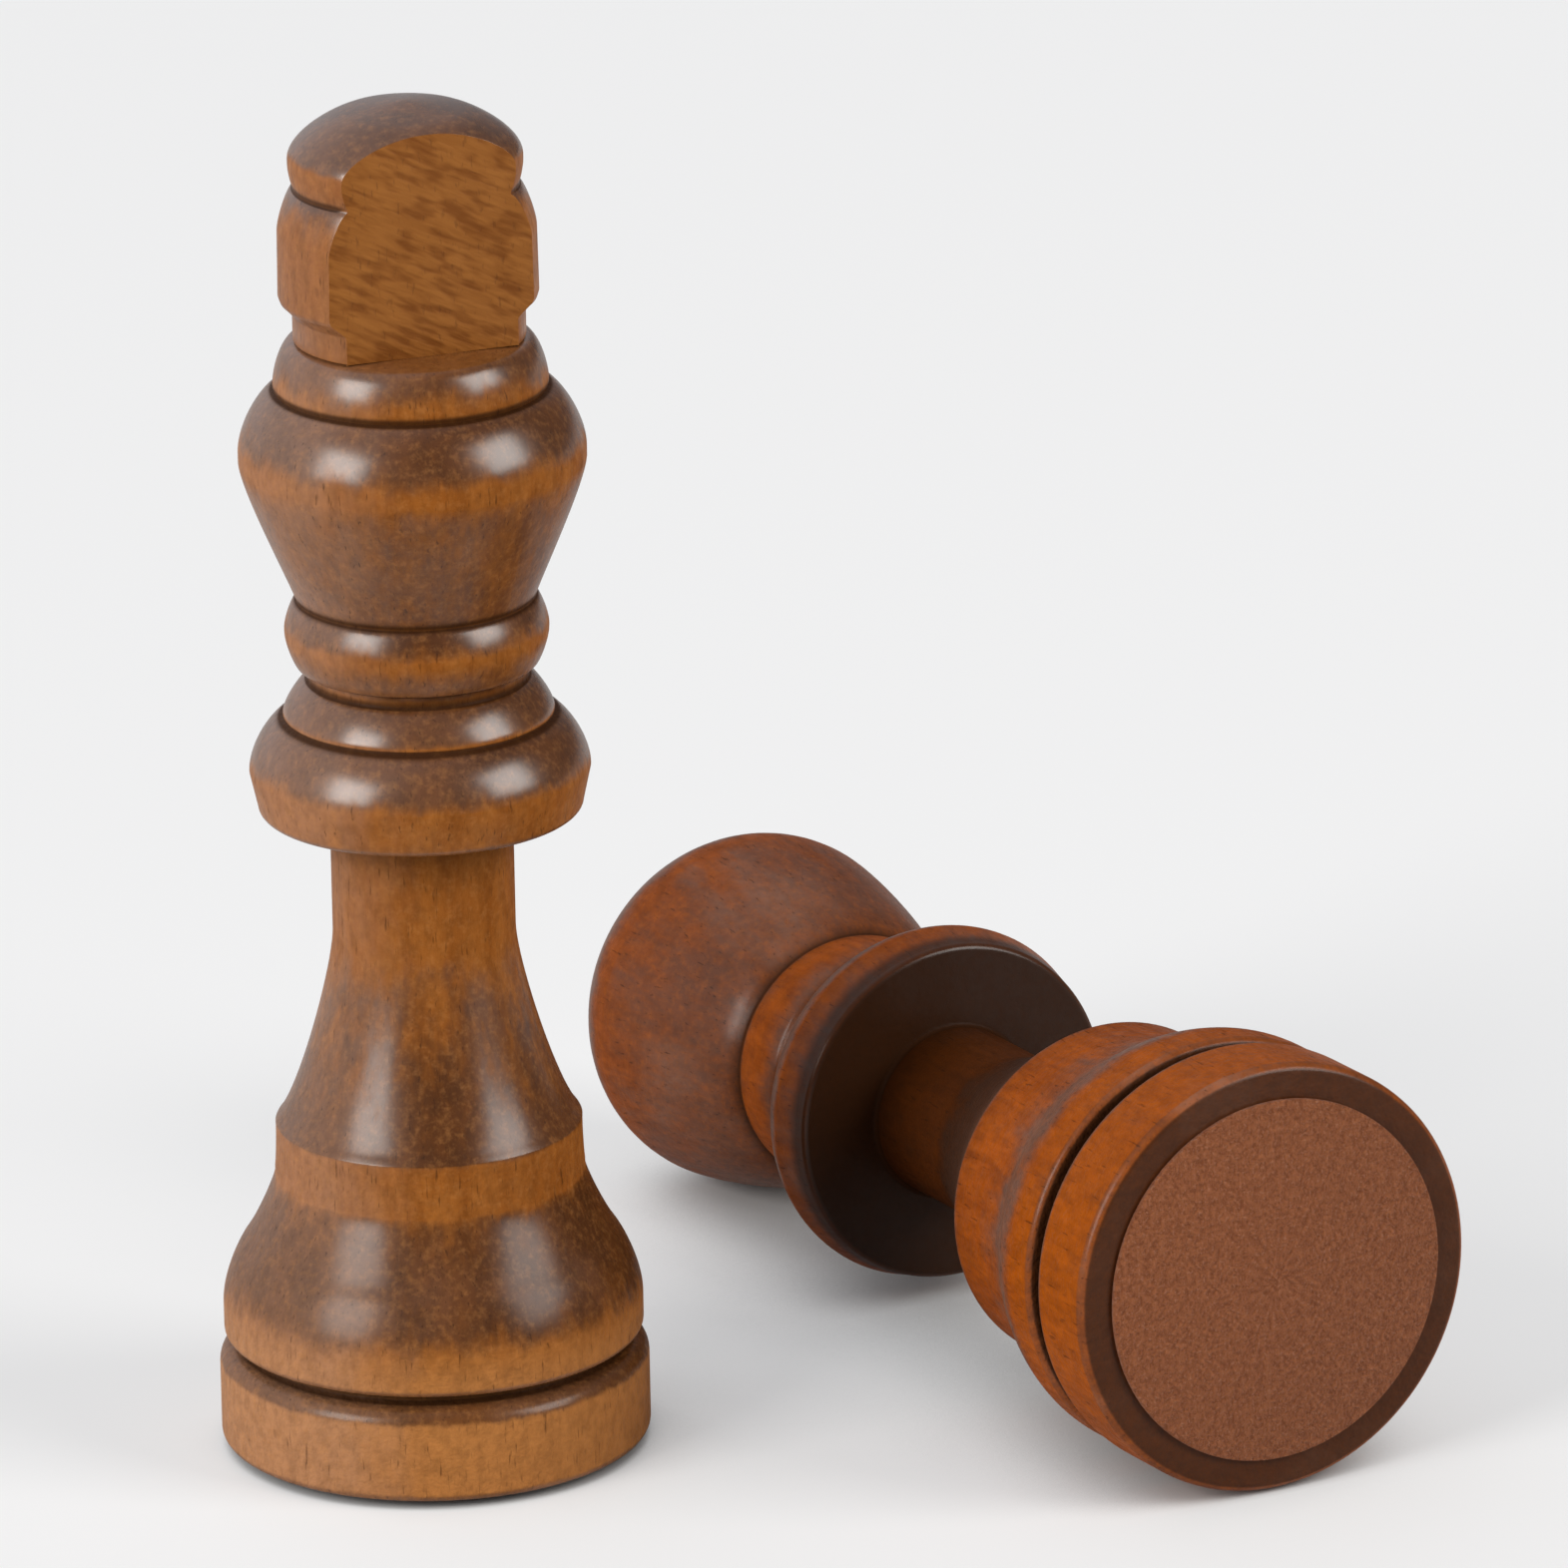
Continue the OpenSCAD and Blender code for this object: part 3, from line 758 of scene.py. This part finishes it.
queen_axis = {"centre": tuple(QUEEN_FELT), "turn": tuple(QUEEN_TURN)}
print("the queen leans", round(math.degrees(lean), 3), "degrees")

# %% [markdown]
# Below the crown the queen follows the king's pattern, with a wider collar and only a faint bead. The
# crown opens like a trumpet, turns over in a broad rounded rim and closes in a low dome, in whose
# middle a small ball sits on its own tenon. The queen's stain is redder, its stem and the collar's
# underside get painted shade, its crown is darker, its end grain gets more painted reflection and its
# lacquer is duller.

# %% Queen's body
RED_AMBER = Tones(
    light=(0.4, 0.086, 0.004, 1),
    dark=(0.2, 0.04, 0.003, 1),
    warm=(0.29, 0.056, 0.002, 1),
    pale=(0.45, 0.12, 0.012, 1),
    end_grain=(0.115, 0.045, 0.024, 1),
)
# The queen's stem gets painted shade, and its upward faces more painted reflection.
queen_wood = wood(
    "queen wood", RED_AMBER, **queen_axis, seed=11.0, pale_foot=0.15, painted_stem_shade=0.82,
    dark_crown=0.42, reflection_grey=0.35, gloss=0.4, down_from=(-0.06, 0.28),
)


def crown_line():
    rim_in = CROWN_R - CROWN_RIM_R
    foot = (QUEEN_BEAD_R - QUEEN_CREASE + 0.1, CROWN_Z + 0.2)
    bore_r = PIP_R + TENON_PLAY
    bore_z = DOME_TOP - PIP_H - TENON_END_GAP
    line = stretch(foot, (5, 4.6), (CROWN_R, CROWN_WIDEST), (0, 4), 20)
    line += arc((rim_in, CROWN_WIDEST), CROWN_RIM_R, 6, 84, 16)
    line += stretch((rim_in - 0.6, CROWN_TOP), (-2, 0.1), (bore_r, DOME_TOP), (-2.4, 0), 10)
    return line + [(bore_r, bore_z), (0, bore_z)]


queen_line = (
    base_line(QUEEN_BASE_R, QUEEN_RING_R, QUEEN_BAND_R)
    + stem_line(QUEEN_BAND_R, QUEEN_STEM_R, QUEEN_COLLAR_Z)
    + collar_line(QUEEN_COLLAR_Z, QUEEN_COLLAR_R, QUEEN_NECK_R, QUEEN_BEAD_R, QUEEN_CREASE)
    + crown_line()
)
queen_mesh = spun(queen_line)
print("crisp edges:", soften(queen_mesh))
mark_shade_and_wear(queen_mesh)
queen_body = piece(
    "queen_turned_body", queen_mesh, [queen_wood], "queen", "queen_body", laid_down
)

# %% Queen's ball
BALL_TURNS = 64
ball_z = DOME_TOP + BALL_R
pip_z = DOME_TOP - PIP_H
pip_top = ball_z - BALL_R * math.cos(math.asin(PIP_R / BALL_R))
ball_line = [(0, pip_z), (PIP_R, pip_z), (PIP_R, pip_top)]
ball_line += arc((0, ball_z), BALL_R, -60, 90, 20)
ball_mesh = spun(ball_line, BALL_TURNS)
mark_shade_and_wear(ball_mesh)
piece("queen_ball", ball_mesh, [queen_wood], "queen", "queen_finial", laid_down)

# %% [markdown]
# ## Felt
# A felt disc is glued under each base so that the piece slides without a scratch. It is
# pressed wool: no weave, only a tangle of short fibres, some lighter and some darker. Its
# rim was punched, so it stands nearly square. The disc is a capped circle with rings inset
# towards the middle, and its edges are softened a little.

# %% Felt material
FELT_DARK = (0.19, 0.056, 0.02, 1)
FELT_LIGHT = (0.4, 0.14, 0.056, 1)
FELT_FLECK = (0.46, 0.2, 0.11, 1)


def felt(name, centre=ORIGIN, turn=ORIGIN):
    shader = Shader(name, centre, turn)
    place = shader.place()
    tufts = shader.noise(place, 1.9, 3.0, 0.7).between(0.36, 0.66)
    fibres = shader.noise(place, 4.2, 3.0, 0.75).between(0.34, 0.68)
    flecks = shader.noise(place, 4.6, 2.0, 0.6).between(0.56, 0.68)
    colour = shader.mix(fibres * 0.55 + tufts * 0.45, FELT_DARK, FELT_LIGHT)
    colour = shader.mix(flecks * 0.55, colour, FELT_FLECK)
    height = fibres + flecks * 0.6 + tufts * 0.5
    return shader.finish(
        Base_Color=colour,
        Roughness=0.93 - flecks * 0.08,
        Normal=shader.bump(height, 0.12, 0.8),
        Specular_IOR_Level=0.12,
        Sheen_Weight=0.1,
        Sheen_Roughness=0.5,
    )


# %% Felt disc
FELT_R = 10.9
FELT_RINGS, FELT_RING_W = 11, 0.9
FELT_SIDES = 120


def felt_disc():
    mesh = bmesh.new()
    bmesh.ops.create_circle(mesh, cap_ends=True, segments=FELT_SIDES, radius=FELT_R * MM)
    for _ in range(FELT_RINGS):
        middle = [max(mesh.faces, key=lambda f: len(f.verts))]
        bmesh.ops.inset_region(mesh, faces=middle, thickness=FELT_RING_W * MM, use_even_offset=True)
    grown = bmesh.ops.extrude_face_region(mesh, geom=mesh.faces[:])
    lifted = [g for g in grown["geom"] if isinstance(g, bmesh.types.BMVert)]
    bmesh.ops.translate(mesh, verts=lifted, vec=(0, 0, FELT_H * MM))
    bmesh.ops.recalc_face_normals(mesh, faces=mesh.faces)
    soften(mesh, 60, 0.09, 2)
    return mesh


king_cloth = felt("king felt")
queen_cloth = felt("queen felt", **queen_axis)
king_felt = piece("king_felt_disc", felt_disc(), [king_cloth], "king", "king_felt")
queen_felt = piece(
    "queen_felt_disc", felt_disc(), [queen_cloth], "queen", "queen_felt", laid_down
)

# %% [markdown]
# ## The slugs
# A steel slug in each base keeps the piece upright. It is hidden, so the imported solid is
# kept as it is and only gets a finish: turned steel with faint rings and a little dull film.

# %% Slug metal
STEEL = (0.32, 0.32, 0.33, 1)
STEEL_FILM = (0.5, 0.49, 0.47, 1)


def slug_metal(name, centre=ORIGIN, turn=ORIGIN):
    shader = Shader(name, centre, turn)
    place = shader.place()
    rings = shader.noise(shader.stretched(place, 0.1, 0.1, 6.0), 1.0, 3.0, 0.7)
    film = shader.noise(place, 0.5, 3.0).between(0.35, 0.7)
    return shader.finish(
        Base_Color=shader.mix(film, STEEL, STEEL_FILM),
        Metallic=1.0,
        Roughness=0.34 + film * 0.2,
        Normal=shader.bump(rings, 0.03, 0.6),
    )


for node, metal in (
    ("king_weight", slug_metal("king slug")),
    ("queen_weight", slug_metal("queen slug", **queen_axis)),
):
    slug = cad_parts[node]
    slug.data.materials.clear()
    slug.data.materials.append(metal)
    print(node, "keeps its packed solid")

# %% [markdown]
# ## Floor and light
# The pieces stand on a pale floor that runs on as far as the camera sees. Lit by the lamps
# alone, a floor this pale shows both lamps' shadows too plainly. So the lamps give it about
# half of its brightness, with the real shadows in it, and the other half is a glow that only
# the camera sees. An Ambient Occlusion node takes the glow away where a piece hems the floor
# in, so the shadow under each piece stays dark.

# %% Floor
FLOOR_SIZE = 6.0
BELOW_FELT = 0.02 * MM
PAPER = (0.6, 0.6, 0.6, 1)
PAPER_SEEN = (0.48, 0.49, 0.495, 1)
GLOW_SEEN = (0.43, 0.43, 0.43, 1)
NO_GLOW = (0, 0, 0, 1)
HEMMED_WITHIN = 30 * MM


def floor_paper():
    shader = Shader("floor")
    seen = shader.node("ShaderNodeLightPath", output="Is Camera Ray")
    openness = shader.node(
        "ShaderNodeAmbientOcclusion", {"samples": 8}, {"Distance": HEMMED_WITHIN}, output="AO"
    )
    return shader.finish(
        Base_Color=shader.mix(seen, PAPER, PAPER_SEEN),
        Roughness=0.9,
        Specular_IOR_Level=0.1,
        Emission_Color=shader.mix(seen * openness.between(0.12, 0.62), NO_GLOW, GLOW_SEEN),
        Emission_Strength=1.0,
    )


def floor():
    mesh = bmesh.new()
    bmesh.ops.create_grid(mesh, x_segments=2, y_segments=2, size=FLOOR_SIZE)
    data = bpy.data.meshes.new("floor")
    mesh.to_mesh(data)
    mesh.free()
    data.materials.append(floor_paper())
    made = bpy.data.objects.new("floor", data)
    made.location.z = -BELOW_FELT
    bpy.context.collection.objects.link(made)
    return made


print("stage:", floor().name)

# %% [markdown]
# Two large soft boxes light the wood, one from the front left and one from further round on
# the right, which is why each bulge shows a pair of soft highlights. The room around them is
# a gradient: brightest high up on the left and behind, and nearly dark low on the right at
# the front. What the camera sees of it is one plain pale tone.

# %% Lamps
AIM = Vector((0.02, 0.0, 0.035))
LAMP_DISTANCE = 3.0
LAMP_COLOUR = (1.0, 0.955, 0.91)


def soft_box(name, around, above, size, power):
    """Around goes from the front to the right and above from the floor, both in degrees."""
    a, e = math.radians(around), math.radians(above)
    way = Vector((math.sin(a) * math.cos(e), -math.cos(a) * math.cos(e), math.sin(e)))
    data = bpy.data.lights.new(name, "AREA")
    data.shape = "SQUARE"
    data.size = size
    data.energy = power
    data.color = LAMP_COLOUR
    lamp = bpy.data.objects.new(name, data)
    lamp.location = AIM + way * LAMP_DISTANCE
    lamp.rotation_euler = way.to_track_quat("Z", "Y").to_euler()
    lamp.visible_camera = False
    bpy.context.collection.objects.link(lamp)
    print(name, "of", power, "watts")


soft_box("left soft box", around=-52, above=24, size=1.5, power=64.0)
soft_box("right soft box", around=68, above=28, size=1.6, power=62.0)

# %% World
ROOM_COLOUR = (0.96, 0.98, 1.04, 1)
BACKDROP = (0.85, 0.85, 0.85, 1)
ROOM_GLOW, LEAST_GLOW = 0.7, 0.08

world = bpy.data.worlds.new("studio")
world.use_nodes = True
room = Graph(world.node_tree)
way = room.node("ShaderNodeTexCoord", output="Generated")
up_left = room.part(way, "Z") * 0.5 - room.part(way, "X") * 0.65 + room.part(way, "Y") * 0.35
glow = up_left.between(-0.1, 1.0) * ROOM_GLOW + LEAST_GLOW
lit = room.node("ShaderNodeBackground", None, {"Color": ROOM_COLOUR, "Strength": glow})
shown = room.node("ShaderNodeBackground", None, {"Color": BACKDROP})
seen = room.node("ShaderNodeLightPath", output="Is Camera Ray")
chosen = room.node("ShaderNodeMixShader", None, {0: seen, 1: lit, 2: shown})
room.node("ShaderNodeOutputWorld", None, {"Surface": chosen})
bpy.context.scene.world = world
print("world:", world.name)
